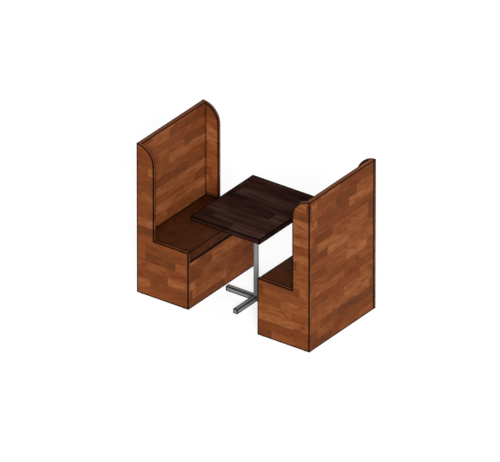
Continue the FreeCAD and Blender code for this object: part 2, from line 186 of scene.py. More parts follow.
def stave_wood(name, along, side_keys, seed, edge_distances):
    """Block-laminated hardwood under satin lacquer, which shows the tone of each stave and a fine streak."""
    material = bpy.data.materials.new(name)
    tree = blank(material)
    place = add(tree, "ShaderNodeTexCoord").outputs["Object"]
    axes = add(tree, "ShaderNodeSeparateXYZ", [place]).outputs
    run, through, rise = axes[along], axes["Y" if along == "X" else "X"], axes["Z"]
    signs = add(tree, "ShaderNodeVectorMath", [place], operation="SIGN")
    key = add(tree, "ShaderNodeVectorMath", [signs, side_keys], operation="DOT_PRODUCT").outputs["Value"]
    key = add(tree, "ShaderNodeMath", [key, seed], operation="ADD")
    stave, from_glue = staves(tree, run, rise, key, stave_width, stave_shortest, stave_longest)
    shifted = add(tree, "ShaderNodeCombineXYZ", [run, through, rise])
    shifted = add(tree, "ShaderNodeVectorMath", [stave["Color"], [stave_shift] * 3, shifted],
                  operation="MULTIPLY_ADD")
    pores_at = add(tree, "ShaderNodeVectorMath", [shifted, (pore_length, pore_width, pore_width)],
                   operation="DIVIDE")
    pores = add(tree, "ShaderNodeTexNoise", {"Vector": pores_at, "Scale": 1, "Detail": 3})
    figure_at = add(tree, "ShaderNodeVectorMath", [shifted, (figure_length, figure_width, figure_width)],
                    operation="DIVIDE")
    figure = add(tree, "ShaderNodeTexNoise", {
        "Vector": figure_at, "Scale": 1, "Detail": 3, "Distortion": 0.8,
    })
    blush_at = add(tree, "ShaderNodeVectorMath", [shifted, blush_size], operation="DIVIDE")
    blush = add(tree, "ShaderNodeTexNoise", {"Vector": blush_at, "Scale": 1, "Detail": 2})
    groove = add(tree, "ShaderNodeMapRange", [from_glue, glue_line, 0, 0, glue_cover])

    figure = add(tree, "ShaderNodeMapRange", [figure, *noise_range, *figure_spread])
    tone = add(tree, "ShaderNodeMath", [stave["Value"], stave_spread, figure], operation="MULTIPLY_ADD",
               use_clamp=True)
    colour = add(tree, "ShaderNodeValToRGB", [tone], board_tones)
    colour = tinted(tree, colour, blush, *board_blush)
    colour = tinted(tree, colour, pores, *board_streak)
    colour = tinted(tree, colour, groove, board_dark)
    # painted shade along the inside corners, where another board comes close
    colour = painted_corner_shade(tree, colour, corner_shade_reach, board_edge_and_shade, corner_shade_cover)
    colour = rubbed_edges(tree, colour, edge_distances(tree, place), board_edge_and_shade, dark_edge)
    height = add(tree, "ShaderNodeMath", [pores, groove], operation="ADD")
    coat(tree, {
        "Base Color": colour,
        "Roughness": add(tree, "ShaderNodeMapRange", [pores, 0, 1, *board_roughness]),
        "Specular IOR Level": 0.03,
        "Normal": add(tree, "ShaderNodeBump", {"Strength": 0.35, "Distance": pore_depth, "Height": height},
                      invert=True),
    })
    return material


def dress(material, *names):
    """Gives a finish to CAD pieces."""
    for name in names:
        mesh = nodes[name].data
        mesh.materials.clear()
        mesh.materials.append(material)


def board_faces(tree, place, low, high, hidden):
    """Distances to a bench board's faces. The hidden ones are flush joints, which have no rubbed arris."""
    low, high = list(low), list(high)
    for face in hidden:
        axis = "xyz".index(face[1])
        if face[0] == "-":
            low[axis] -= 1
        else:
            high[axis] += 1
    axes = add(tree, "ShaderNodeSeparateXYZ", [place]).outputs
    outward = add(tree, "ShaderNodeMath", [axes["X"]], operation="ABSOLUTE")
    place = add(tree, "ShaderNodeCombineXYZ", [outward, axes["Y"], axes["Z"]])
    return from_faces(tree, place, low, high, (thin_line, 1, 1))


def end_panel_faces(tree, place, near):
    """Distances to the faces of the L-shaped end panels, whose wing ends in a quarter circle."""
    low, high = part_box("right_near_end_panel")
    seat_front = high[0] - low[0]
    width = high[1] - low[1]
    axes = add(tree, "ShaderNodeSeparateXYZ", [place]).outputs
    outward = add(tree, "ShaderNodeMath", [axes["X"]], operation="ABSOLUTE")
    sideward = add(tree, "ShaderNodeMath", [axes["Y"]], operation="ABSOLUTE")
    depth = add(tree, "ShaderNodeMath", [high[0], outward], operation="SUBTRACT")
    above = add(tree, "ShaderNodeMath", [axes["Z"], high[2] - wing_depth], operation="SUBTRACT")
    above = add(tree, "ShaderNodeMath", [above, 0], operation="MAXIMUM")
    round_top = add(tree, "ShaderNodeCombineXYZ", [depth, above])
    round_top = add(tree, "ShaderNodeVectorMath", [round_top], operation="LENGTH").outputs["Value"]
    wing = add(tree, "ShaderNodeMath", [wing_depth, round_top], operation="SUBTRACT")
    front = add(tree, "ShaderNodeMath", [seat_front, depth], operation="SUBTRACT")
    front = add(tree, "ShaderNodeMath", [front, wing], operation="MAXIMUM")
    arm_top = add(tree, "ShaderNodeMath", [arm_height, axes["Z"]], operation="SUBTRACT")
    arm_top = add(tree, "ShaderNodeMath", [arm_top, wing], operation="MAXIMUM")
    foot = add(tree, "ShaderNodeMath", [axes["Z"], low[2]], operation="SUBTRACT")
    outer = add(tree, "ShaderNodeMath", [-low[1], sideward], operation="SUBTRACT")
    inner = add(tree, "ShaderNodeMath", [width, outer], operation="SUBTRACT")

    # the front board, and the back board on the near side, meet the panel flush and leave no inner arris
    under_seat = add(tree, "ShaderNodeMath", [axes["Z"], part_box("right_front_panel")[1][2]],
                     operation="LESS_THAN")
    flush = add(tree, "ShaderNodeMath", [front, flush_reach], operation="LESS_THAN")
    flush = add(tree, "ShaderNodeMath", [under_seat, flush], operation="MULTIPLY")
    if near:
        flush_back = add(tree, "ShaderNodeMath", [depth, flush_reach], operation="LESS_THAN")
        flush = add(tree, "ShaderNodeMath", [flush, flush_back], operation="MAXIMUM")
    outer = add(tree, "ShaderNodeMath", [outer, thin_line], operation="MULTIPLY")
    inner = add(tree, "ShaderNodeMath", [inner, thin_line, flush], operation="MULTIPLY_ADD")
    return [depth, front, arm_top, foot, outer, inner]


benches = ("left_", "right_")
for where, seed in (("near", 1), ("far", 3)):
    panel_wood = stave_wood(f"stave_wood_{where}_end_panels", "X", panel_keys, seed,
                            lambda tree, place: end_panel_faces(tree, place, where == "near"))
    dress(panel_wood, *[side + where + "_end_panel" for side in benches])
for name, seed, hidden in (
    ("front_panel", 41, ("-y", "+y")),
    ("back_panel", 12, ("-y", "+z")),
    ("backrest_panel", 13, ("-y", "+y", "+z")),
    ("back_top_lipping", 14, ("-y", "+y", "-z")),
):
    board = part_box("right_" + name)
    board_wood = stave_wood("stave_wood_" + name, "Y", board_keys, seed,
                            lambda tree, place: board_faces(tree, place, *board, hidden))
    dress(board_wood, *[side + name for side in benches])

# Inner frame of the benches: cleats, rails, bearers, glue blocks and the battens under the seats.
# Planed softwood, left bare, which shows pale early wood and darker rings along each piece.

ring_width = 0.0035
ring_scale = 0.3 / ring_width      # a wave texture of scale 1 has a ring every 0.3 m
ring_run = 0.12                    # how much slower the rings change along a piece
fibre_width = 1 / 900
fibre_depth = 0.0003
fibre_share = 0.35
softwood_tones = ["#D9B98A", "#CFA974", "#B98B55"]


def softwood(name, along):
    """Planed softwood with rings round the direction that the piece runs in."""
    material = bpy.data.materials.new(name)
    tree = blank(material)
    place = add(tree, "ShaderNodeTexCoord").outputs["Object"]
    stretch = [ring_run if axis == along else 1 for axis in "XYZ"]
    squeezed = add(tree, "ShaderNodeMapping", {"Vector": place, "Scale": stretch})
    rings = add(tree, "ShaderNodeTexWave", {
        "Vector": squeezed, "Scale": ring_scale, "Distortion": 6, "Detail": 2, "Detail Scale": 0.6,
    }, wave_type="RINGS", rings_direction=along).outputs["Fac"]
    fibre = add(tree, "ShaderNodeTexNoise", {"Vector": squeezed, "Scale": 1 / fibre_width, "Detail": 2})
    tone = add(tree, "ShaderNodeMath", [fibre, fibre_share, rings], operation="MULTIPLY_ADD")
    tone = add(tree, "ShaderNodeMapRange", [tone, 0, 1 + fibre_share])
    coat(tree, {
        "Base Color": add(tree, "ShaderNodeValToRGB", [tone], softwood_tones),
        "Roughness": 0.72,
        "Specular IOR Level": 0.3,
        "Normal": add(tree, "ShaderNodeBump", {"Strength": 0.4, "Distance": fibre_depth, "Height": fibre}),
    })
    return material


for along, names in {
    "X": ("seat_side_cleats", "seat_centre_bearer", "seat_battens"),
    "Y": ("seat_rear_cleat", "seat_front_rail", "back_bottom_rail"),
    "Z": ("corner_blocks",),
}.items():
    dress(softwood("planed_softwood_" + along, along), *[side + name for side in benches for name in names])

# Seat boards and dowels. The boards under the pads are birch plywood, sawn and sanded, with the plies
# showing at the edges. The dowels in the end panels are turned beech, which shows short flecks.

ply_thickness = 0.0015
ply_grain = (1 / 220, 1 / 14, 1 / 220)
ply_faces = ["#D8BC90", "#CDAE7E", "#C09C68"]
ply_glue = "#7A5A38"
ply_glue_cover = 0.55
beech_fleck = (1 / 900, 1 / 120, 1 / 900)
beech_tones = ["#D2A67C", "#B98A60"]


def levelness(tree):
    """How level the surface lies: 1 on a top or an underside, 0 on an edge."""
    facing = add(tree, "ShaderNodeNewGeometry").outputs["Normal"]
    rise = add(tree, "ShaderNodeSeparateXYZ", [facing]).outputs["Z"]
    return add(tree, "ShaderNodeMath", [rise], operation="ABSOLUTE")


plywood = bpy.data.materials.new("birch_plywood")
tree = blank(plywood)
place = add(tree, "ShaderNodeTexCoord").outputs["Object"]
grain_at = add(tree, "ShaderNodeVectorMath", [place, ply_grain], operation="DIVIDE")
grain = add(tree, "ShaderNodeTexNoise", {"Vector": grain_at, "Scale": 1, "Detail": 4})
rise = add(tree, "ShaderNodeSeparateXYZ", [place]).outputs["Z"]
ply = add(tree, "ShaderNodeMath", [rise, ply_thickness], operation="DIVIDE")
ply = add(tree, "ShaderNodeMath", [ply, 1], operation="PINGPONG")
edge_on = add(tree, "ShaderNodeMath", [0.5, levelness(tree)], operation="GREATER_THAN")
layer = add(tree, "ShaderNodeMath", [ply, edge_on], operation="MULTIPLY")
colour = add(tree, "ShaderNodeValToRGB", [grain], ply_faces)
colour = tinted(tree, colour, layer, ply_glue, cover=ply_glue_cover)
coat(tree, {"Base Color": colour, "Roughness": 0.68})
dress(plywood, *[side + "seat_board" for side in benches])

beech = bpy.data.materials.new("turned_beech")
tree = blank(beech)
place = add(tree, "ShaderNodeTexCoord").outputs["Object"]
fleck_at = add(tree, "ShaderNodeVectorMath", [place, beech_fleck], operation="DIVIDE")
fleck = add(tree, "ShaderNodeTexNoise", {"Vector": fleck_at, "Scale": 1})
coat(tree, {"Base Color": add(tree, "ShaderNodeValToRGB", [fleck], beech_tones), "Roughness": 0.7})
dress(beech, *[side + "panel_dowels" for side in benches])

# Screws, staples, weld nuts and levellers. Steel wire and bar, headed or turned, and then plated with
# bright zinc, which is a little clouded.

zinc_tones = ["#9C9D9A", "#C9CAC5"]
zinc_roughness = (0.26, 0.44)
cloud_size = 0.004

zinc = bpy.data.materials.new("bright_zinc_plated_steel")
tree = blank(zinc)
place = add(tree, "ShaderNodeTexCoord").outputs["Object"]
cloud = add(tree, "ShaderNodeTexNoise", {"Vector": place, "Scale": 1 / cloud_size, "Detail": 3})
coat(tree, {
    "Base Color": add(tree, "ShaderNodeValToRGB", [cloud], zinc_tones),
    "Roughness": add(tree, "ShaderNodeMapRange", [cloud, 0, 1, *zinc_roughness]),
    "Metallic": 1,
})
hardware = [side + name for side in benches for name in ("frame_screws", "batten_screws", "cover_staples")]
levellers = ["table_leveller_" + place for place in ("left", "right", "near", "far")]
dress(zinc, "table_plate_screws", "table_leveller_nuts", *hardware, *levellers)

# Floor glides of the benches and end caps of the table's foot.
# Injection-moulded polypropylene, dark on the glides and grey like the steel on the caps, with a fine grain.

moulded_grain = 0.0011
moulded_depth = 0.0002
glide_tones = ["#1B1918", "#2A2826"]
cap_tones = ["#6F6F6F", "#797979"]
cap_edge = "#121212"
cap_line = 0.0070                  # how wide the dark is along the caps' edges


def cap_faces(tree, place):
    """Distances to the faces of the four caps, which end the arms of the cross foot alike."""
    low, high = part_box("table_foot_caps")
    ways = add(tree, "ShaderNodeVectorMath", [place], operation="ABSOLUTE")
    ways = add(tree, "ShaderNodeSeparateXYZ", [ways]).outputs
    outward = add(tree, "ShaderNodeMath", [ways["X"], ways["Y"]], operation="MAXIMUM")
    sideward = add(tree, "ShaderNodeMath", [ways["X"], ways["Y"]], operation="MINIMUM")
    return [
        add(tree, "ShaderNodeMath", [high[0], outward], operation="SUBTRACT"),
        add(tree, "ShaderNodeMath", [(high[2] - low[2]) / 2, sideward], operation="SUBTRACT"),
        add(tree, "ShaderNodeMath", [high[2], ways["Z"]], operation="SUBTRACT"),
        add(tree, "ShaderNodeMath", [ways["Z"], low[2]], operation="SUBTRACT"),
    ]


def moulded(name, shades, edge_distances=None):
    """Matt moulded plastic with a fine eroded grain, and dark along its edges where they are given."""
    material = bpy.data.materials.new(name)
    tree = blank(material)
    place = add(tree, "ShaderNodeTexCoord").outputs["Object"]
    grain = add(tree, "ShaderNodeTexNoise", {"Vector": place, "Scale": 1 / moulded_grain, "Detail": 2})
    colour = add(tree, "ShaderNodeValToRGB", [grain], shades)
    if edge_distances:
        colour = rubbed_edges(tree, colour, edge_distances(tree, place), cap_edge, cap_line)
    coat(tree, {
        "Base Color": colour,
        "Roughness": 0.6,
        "Specular IOR Level": 0.3,
        "Normal": add(tree, "ShaderNodeBump", {"Strength": 0.25, "Distance": moulded_depth, "Height": grain}),
    })
    return material


dress(moulded("black_polypropylene", glide_tones), *[side + "floor_glides" for side in benches])
dress(moulded("grey_polypropylene", cap_tones, cap_faces), "table_foot_caps")

# Table top. Dark stained hardwood planks, glued edge to edge and oiled, with the grain from bench to bench.
# The stain evens the planks out to slow dark waves, and the sides are painted a little darker than the top,
# as shade.

plank_width = 0.096
plank_shortest = 0.30
plank_longest = 0.75
plank_seed = 7
plank_shift = 5
plank_spread = 0.52
plank_glue_cover = 0.7
wave_length = 0.30
wave_width = 0.045
wave_spread = (-0.10, 0.50)
table_pore_length = 0.045
table_pore_width = 0.0018          # drawn coarser than real pores, which are too fine to show
table_tones = ["#170605", "#2B1511", "#3A2420", "#4C342F"]
table_streak = ("#120504", 0.52, 0.75, 0.45)
table_roughness = (0.38, 0.6)
painted_side_shade = 0.22                  # how much darker the sides are painted than the top, as painted shade
table_edge = "#060302"

table_wood = bpy.data.materials.new("dark_stained_planks")
tree = blank(table_wood)
place = add(tree, "ShaderNodeTexCoord").outputs["Object"]
axes = add(tree, "ShaderNodeSeparateXYZ", [place]).outputs
plank, from_glue = staves(tree, axes["X"], axes["Y"], plank_seed, plank_width, plank_shortest, plank_longest)
shifted = add(tree, "ShaderNodeVectorMath", [plank["Color"], [plank_shift] * 3, place],
              operation="MULTIPLY_ADD")
wave_at = add(tree, "ShaderNodeVectorMath", [shifted, (wave_length, wave_width, wave_width)],
              operation="DIVIDE")
wave = add(tree, "ShaderNodeTexNoise", {"Vector": wave_at, "Scale": 1, "Detail": 3, "Distortion": 0.5})
pores_at = add(tree, "ShaderNodeVectorMath", [
    shifted, (table_pore_length, table_pore_width, table_pore_width),
], operation="DIVIDE")
pores = add(tree, "ShaderNodeTexNoise", {"Vector": pores_at, "Scale": 1, "Detail": 3})
groove = add(tree, "ShaderNodeMapRange", [from_glue, glue_line, 0, 0, plank_glue_cover])

wave = add(tree, "ShaderNodeMapRange", [wave, *noise_range, *wave_spread])
tone = add(tree, "ShaderNodeMath", [plank["Value"], plank_spread, wave], operation="MULTIPLY_ADD")
# painted shade: the sides turn darker than the top, by how level the surface lies
tone = add(tree, "ShaderNodeMath", [tone, painted_side_shade], operation="SUBTRACT")
tone = add(tree, "ShaderNodeMath", [levelness(tree), painted_side_shade, tone], operation="MULTIPLY_ADD")
colour = add(tree, "ShaderNodeValToRGB", [tone], table_tones)
colour = tinted(tree, colour, pores, *table_streak)
colour = tinted(tree, colour, groove, table_edge)
distances = from_faces(tree, place, *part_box("table_top"), (1, 1, thin_line))
colour = rubbed_edges(tree, colour, distances, table_edge, dark_edge)
height = add(tree, "ShaderNodeMath", [pores, groove], operation="ADD")
coat(tree, {
    "Base Color": colour,
    "Roughness": add(tree, "ShaderNodeMapRange", [pores, 0, 1, *table_roughness]),
    "Specular IOR Level": 0.005,
    "Normal": add(tree, "ShaderNodeBump", {"Strength": 0.4, "Distance": pore_depth, "Height": height},
                  invert=True),
})
dress(table_wood, "table_top")

# Table base: column, cross foot and top plate. Mild steel tube and plate, welded and then powder coated
# in a plain mid grey, which leaves a fine orange peel. The square tubes are scuffed dark along their edges.

peel_size = 0.0022
peel_depth = 0.0002
powder_tones = ["#7D7D7D", "#838383"]
# the dark of the scuffed edges, and also of the painted shade where parts meet
powder_edge_and_shade = "#121212"
powder_shade_reach = 0.008                # how far the painted shade of an inside corner reaches
powder_shade_cover = 0.7
foot_line = 0.0084                 # how wide the dark is along the square tubes' edges


def powder_coat(name, box=None):
    """Grey powder coat on steel, darker along a square tube's edges, and with painted shade where two parts
    meet.
    """
    material = bpy.data.materials.new(name)
    tree = blank(material)
    place = add(tree, "ShaderNodeTexCoord").outputs["Object"]
    peel = add(tree, "ShaderNodeTexNoise", {"Vector": place, "Scale": 1 / peel_size, "Detail": 1})
    colour = add(tree, "ShaderNodeValToRGB", [peel], powder_tones)
    # painted shade where the column, foot and plate meet
    colour = painted_corner_shade(tree, colour, powder_shade_reach, powder_edge_and_shade, powder_shade_cover)
    if box:
        colour = rubbed_edges(tree, colour, from_faces(tree, place, *box), powder_edge_and_shade, foot_line)
    coat(tree, {
        "Base Color": colour,
        "Roughness": 0.5,
        "Specular IOR Level": 0.15,
        "Normal": add(tree, "ShaderNodeBump", {"Strength": 0.3, "Distance": peel_depth, "Height": peel}),
    })
    return material


powder_grey = powder_coat("grey_powder_coated_steel")
dress(powder_grey, "table_column", "table_top_plate")
for foot in ("table_long_foot", "table_near_foot", "table_far_foot"):
    dress(powder_coat("grey_powder_coat_" + foot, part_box(foot)), foot)

# Weld beads where the column meets its foot and plate, and where the short feet meet the long one.
# Each is a row of overlapping ripples left by the torch, under the same powder coat.

bead_length = 0.00352
bead_width = 0.0044
bead_pitch = 0.0017
tube_corner = 0.003
ring_points = 72


def put(name, data):
    """A new object in the scene, for a mesh, a lamp or a camera."""
    thing = bpy.data.objects.new(name, data)
    bpy.context.scene.collection.objects.link(thing)
    return thing


def path_object(name, points, closed):
    """A chain of edges through the points."""
    mesh = bpy.data.meshes.new(name)
    edges = [(index, index + 1) for index in range(len(points) - 1)]
    if closed:
        edges.append((len(points) - 1, 0))
    mesh.from_pydata(points, edges, [])
    return put(name, mesh)


def start_growth(name, sizes):
    """An empty geometry tree that takes and gives geometry, with its named size inputs."""
    tree = bpy.data.node_groups.new(name, "GeometryNodeTree")
    tree.interface.new_socket("Geometry", in_out="INPUT", socket_type="NodeSocketGeometry")
    for size in sizes:
        tree.interface.new_socket(size, in_out="INPUT", socket_type="NodeSocketFloat")
    tree.interface.new_socket("Geometry", in_out="OUTPUT", socket_type="NodeSocketGeometry")
    return tree, add(tree, "NodeGroupInput")


def end_growth(tree, shape, material):
    """Ends a geometry tree with its shape as one smooth mesh in its material."""
    shape = add(tree, "GeometryNodeRealizeInstances", [shape])
    shape = add(tree, "GeometryNodeSetShadeSmooth", [shape])
    shape = add(tree, "GeometryNodeSetMaterial", {"Geometry": shape, "Material": material})
    add(tree, "NodeGroupOutput", [shape])
    return tree


def grow(piece, tree, values):
    """Runs a geometry tree on a piece and leaves the piece with the plain mesh that comes out."""
    modifier = piece.modifiers.new("growth", "NODES")
    modifier.node_group = tree
    for item in tree.interface.items_tree:
        if item.in_out == "INPUT" and item.name in values:
            modifier[item.identifier] = values[item.name]
    evaluated = piece.evaluated_get(bpy.context.evaluated_depsgraph_get())
    mesh = bpy.data.meshes.new_from_object(evaluated)
    piece.modifiers.clear()
    piece.data = mesh
    return piece


def row_tree(name, material):
    """A tree that sets small oval beads along a path, each turned with it."""
    tree, given = start_growth(name, ("Length", "Width", "Pitch"))
    path = add(tree, "GeometryNodeMeshToCurve", [given])
    path = add(tree, "GeometryNodeResampleCurve", {"Curve": path, "Length": given.outputs["Pitch"]},
               mode="LENGTH")
    bead = add(tree, "GeometryNodeMeshUVSphere", {"Segments": 8, "Rings": 5, "Radius": 0.5})
    tangent = add(tree, "GeometryNodeInputTangent")
    turn = add(tree, "FunctionNodeAlignRotationToVector", {"Vector": tangent}, axis="X")
    size = add(tree, "ShaderNodeCombineXYZ", [given.outputs[way] for way in ("Length", "Width", "Width")])
    beads = add(tree, "GeometryNodeInstanceOnPoints", {
        "Points": path, "Instance": bead, "Rotation": turn, "Scale": size,
    })
    return end_growth(tree, beads, material)


def ring(radius, height):
    """Points round the column."""
    angles = [math.tau * index / ring_points for index in range(ring_points)]
    return [(radius * math.cos(a), radius * math.sin(a), height) for a in angles]


weld_tree = row_tree("weld_bead_row", powder_grey)
column_low, column_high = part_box("table_column")
foot_low, foot_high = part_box("table_long_foot")
foot_half = foot_high[1]
seams = [
    ("column_foot_weld", ring(column_high[0], column_low[2]), True),
    ("column_head_weld", ring(column_high[0], column_high[2]), True),
]
for side, name in ((-1, "near_foot_weld"), (1, "far_foot_weld")):
    joint_y = side * foot_half
    seams.append((name, [
        (-foot_half, joint_y, foot_low[2] + tube_corner),
        (-foot_half, joint_y, foot_high[2] - tube_corner),
        (-foot_half + tube_corner, joint_y, foot_high[2]),
        (foot_half - tube_corner, joint_y, foot_high[2]),
        (foot_half, joint_y, foot_high[2] - tube_corner),
        (foot_half, joint_y, foot_low[2] + tube_corner),
    ], False))
for name, points, closed in seams:
    weld = grow(path_object(name, points, closed), weld_tree,
                {"Length": bead_length, "Width": bead_width, "Pitch": bead_pitch})
    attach(weld, "booth_frame")

# Padded lift-out seats. Foam on a plywood board under a dark brown upholstery vinyl with a fine leather
# grain, sewn as a boxed cushion: a top panel and a band, joined by a piped seam. Each seat lies between
# the boards round it, and its band is drawn in a little between its corners.

grain_cell = 0.0022                # drawn coarser than the real grain, which is too fine to show
grain_depth = 0.0003
mottle_size = 0.07
mottle_range = (0.32, 0.68)
vinyl_tones = ["#42200F", "#4A2612", "#532A13"]
vinyl_valley = ("#140803", 0.35, 0.75, 0.5)
vinyl_corner_shade = "#0A0402"
vinyl_shade_reach = 0.009                 # how far the painted shade of an inside corner reaches
vinyl_shade_cover = 0.9
vinyl_roughness = (0.40, 0.62)
cover_gloss = 0.02
seam_height = 0.462
draw_in = 0.0022
side_slack = 0.0006                # how much smaller than the cover the cushion starts
base_lift = 0.0004                 # how far over the board's underside it starts
edge_roll = 0.008
roll_rows = (0, 0.0022, 0.0048, 0.0080)
cushion_step = 0.0095
start_crown = 0.006
seam_hold = (0.010, 0.022)         # how far from the seam the cover is held fast, and where it is free
board_hold = 0.014                 # over how much height above the board the hold on the cover fades
swell_frames = 20
swell_cap = 0.012
swell_pressure = 4
swell_shrink = -0.012
cover_stiffness = 18
cover_bending = 1.5
cover_quality = 6
band_bulge = 0.0022                # the most that the band may stand out over its box


def vinyl(name, shades, gloss_level):
    """Embossed upholstery vinyl: a pebbled grain, satin, with slow red-brown clouds in its print, and painted
    shade in its inside corners.
    """
    material = bpy.data.materials.new(name)
    tree = blank(material)
    place = add(tree, "ShaderNodeTexCoord").outputs["Object"]
    cells = add(tree, "ShaderNodeTexVoronoi", {"Vector": place, "Scale": 1 / grain_cell}, feature="SMOOTH_F1")
    mottle = add(tree, "ShaderNodeTexNoise", {"Vector": place, "Scale": 1 / mottle_size, "Detail": 5})
    mottle = add(tree, "ShaderNodeMapRange", [mottle, *mottle_range])
    colour = add(tree, "ShaderNodeValToRGB", [mottle], shades)
    colour = tinted(tree, colour, cells, *vinyl_valley)
    # painted shade where the seat meets the boards round it
    colour = painted_corner_shade(tree, colour, vinyl_shade_reach, vinyl_corner_shade, vinyl_shade_cover)
    coat(tree, {
        "Base Color": colour,
        "Roughness": add(tree, "ShaderNodeMapRange", [cells, 0, 1, *vinyl_roughness]),
        "Specular IOR Level": gloss_level,
        "Normal": add(tree, "ShaderNodeBump", {"Strength": 0.3, "Distance": grain_depth, "Height": cells},
                      invert=True),
    })
    return material


def stations(low, high):
    """Places from low to high, close together in the rolled edges and evenly spaced between them."""
    inner = high - low - 2 * roll_rows[-1]
    count = max(round(inner / cushion_step), 1)
    middle = [low + roll_rows[-1] + inner * index / count for index in range(1, count)]
    return [low + row for row in roll_rows] + middle + [high - row for row in reversed(roll_rows)]


def rolled(point, low, high):
    """A point of a box's surface moved onto the same box with rolled edges."""
    core = Vector([min(max(p, a + edge_roll), b - edge_roll) for p, a, b in zip(point, low, high)])
    out = point - core
    return core + out.normalized() * edge_roll if out.length > 0 else point


def cushion_mesh(name, low, high):
    """A closed box with rolled edges in even rows, ready to swell."""
    places = [stations(a, b) for a, b in zip(low, high)]
    last = [len(rows) - 1 for rows in places]
    form = bmesh.new()
    made = {}

    def vertex(*key):
        if key not in made:
            point = Vector([rows[k] for rows, k in zip(places, key)])
            made[key] = form.verts.new(rolled(point, low, high))
        return made[key]

    for axis in range(3):
        across, up = [other for other in range(3) if other != axis]
        for end in (0, last[axis]):
            for i in range(last[across]):
                for j in range(last[up]):
                    corners = []
                    for a, b in ((i, j), (i + 1, j), (i + 1, j + 1), (i, j + 1)):
                        key = [0, 0, 0]
                        key[axis], key[across], key[up] = end, a, b
                        corners.append(vertex(*key))
                    form.faces.new(corners)
    bmesh.ops.recalc_face_normals(form, faces=form.faces)
    mesh = bpy.data.meshes.new(name)
    form.to_mesh(mesh)
    form.free()
    return mesh


def smooth_step(value, low, high):
    """A smooth rise from 0 to 1 as the value goes from low to high."""
    share = min(max((value - low) / (high - low), 0), 1)
    return share * share * (3 - 2 * share)


def shares(point, middle, half):
    """How far a point is from a seat's middle to its sides, from -1 to 1 in depth and in width."""
    return (point.x - middle.x) / half.x, (point.y - middle.y) / half.y


def drawn_in(point, middle, half, amount):
    """A point of the cushion moved inwards as its band is, most in the middle of each long side."""
    share_x, share_y = shares(point, middle, half)
    return Vector((point.x - amount * share_x * max(1 - share_y ** 2, 0), point.y, point.z))


def swell(piece, held):
    """Blows the cushion up as cloth, with its sewn edges and underside held, and keeps the result."""
    pins = piece.vertex_groups.new(name="sewn")
    for vertex in piece.data.vertices:
        pins.add([vertex.index], held(vertex.co), "REPLACE")
    cloth = piece.modifiers.new("swelling", "CLOTH")
    cloth.settings.vertex_group_mass = "sewn"
    cloth.settings.use_pressure = True
    cloth.settings.uniform_pressure_force = swell_pressure
    cloth.settings.shrink_min = swell_shrink
    cloth.settings.effector_weights.gravity = 0
    cloth.settings.quality = cover_quality
    cloth.settings.tension_stiffness = cover_stiffness
    cloth.settings.compression_stiffness = cover_stiffness
    cloth.settings.bending_stiffness = cover_bending
    cloth.point_cache.frame_start = 1
    cloth.point_cache.frame_end = swell_frames
    rest = [vertex.co.copy() for vertex in piece.data.vertices]
    for moment in range(1, swell_frames + 1):
        bpy.context.scene.frame_set(moment)
    evaluated = piece.evaluated_get(bpy.context.evaluated_depsgraph_get())
    swollen = bpy.data.meshes.new_from_object(evaluated)
    piece.modifiers.clear()
    for vertex, start in zip(swollen.vertices, rest):
        move = vertex.co - start
        if move.length > swell_cap:
            vertex.co = start + move.normalized() * swell_cap
    bpy.context.scene.frame_set(1)
    piece.data = swollen


def seat_cushion(name, low, high, board_top, crown_top):
    """The cushion of one seat, from the board's underside to its crown, swollen above the board's edges."""
    piece = put(name, cushion_mesh(name, low, high))
    middle, half = (low + high) / 2, (high - low) / 2
    for vertex in piece.data.vertices:
        share_x, share_y = shares(vertex.co, middle, half)
        belly = max(1 - share_x ** 2, 0) * max(1 - share_y ** 2, 0)
        inward = draw_in * smooth_step(vertex.co.z, board_top, middle.z)
        vertex.co = drawn_in(vertex.co, middle, half, inward)
        vertex.co.z += start_crown * belly * smooth_step(vertex.co.z, middle.z, high.z)

    def held(point):
        share_x, share_y = shares(point, middle, half)
        to_side = min(half.x * (1 - abs(share_x)), half.y * (1 - abs(share_y)))
        near_seam = 1 - smooth_step(max(high.z - point.z, to_side), *seam_hold)
        underneath = 1 - smooth_step(point.z, board_top, board_top + board_hold)
        return max(near_seam, underneath)

    swell(piece, held)
    peak = max(vertex.co.z for vertex in piece.data.vertices)
    for vertex in piece.data.vertices:
        point = vertex.co
        point.x = min(max(point.x, low.x - band_bulge), high.x + band_bulge)
        point.y = min(max(point.y, low.y - band_bulge), high.y + band_bulge)
        if point.z > high.z:
            point.z = high.z + (point.z - high.z) * (crown_top - high.z) / (peak - high.z)
    finer = piece.modifiers.new("finer", "SUBSURF")
    finer.levels = finer.render_levels = 1
    for face in piece.data.polygons:
        face.use_smooth = True
    return piece


cover_vinyl = vinyl("brown_upholstery_vinyl", vinyl_tones, cover_gloss)
seats = {}
for side in benches:
    low, high = [Vector(corner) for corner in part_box(side + "seat_cover")]
    board_low, board_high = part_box(side + "seat_board")
    slack = Vector((side_slack, side_slack, 0))
    base = Vector((low.x, low.y, board_low[2] + base_lift)) + slack
    top = Vector((high.x, high.y, seam_height)) - slack
    pad = seat_cushion(side + "seat_cushion", base, top, board_high[2], high.z)
    pad.data.materials.append(cover_vinyl)
    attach(pad, side + "seat")
    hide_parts(side + "seat_cover", side + "seat_foam")
    seats[side] = (low, high, pad)

# Piping in the seats' seams. A cord wrapped in the same vinyl, nearly black from handling, with one
# cord round the top panel and one along the foot of the band.

piping_radius = 0.0030
piping_inset = 0.0024
top_piping_drop = 0.0008
bottom_piping_lift = 0.0050
piping_tones = ["#0C0502", "#120804"]
piping_gloss = 0.01
corner_points = 7
side_points = (20, 36)             # of an outline, along a seat's depth and along its width


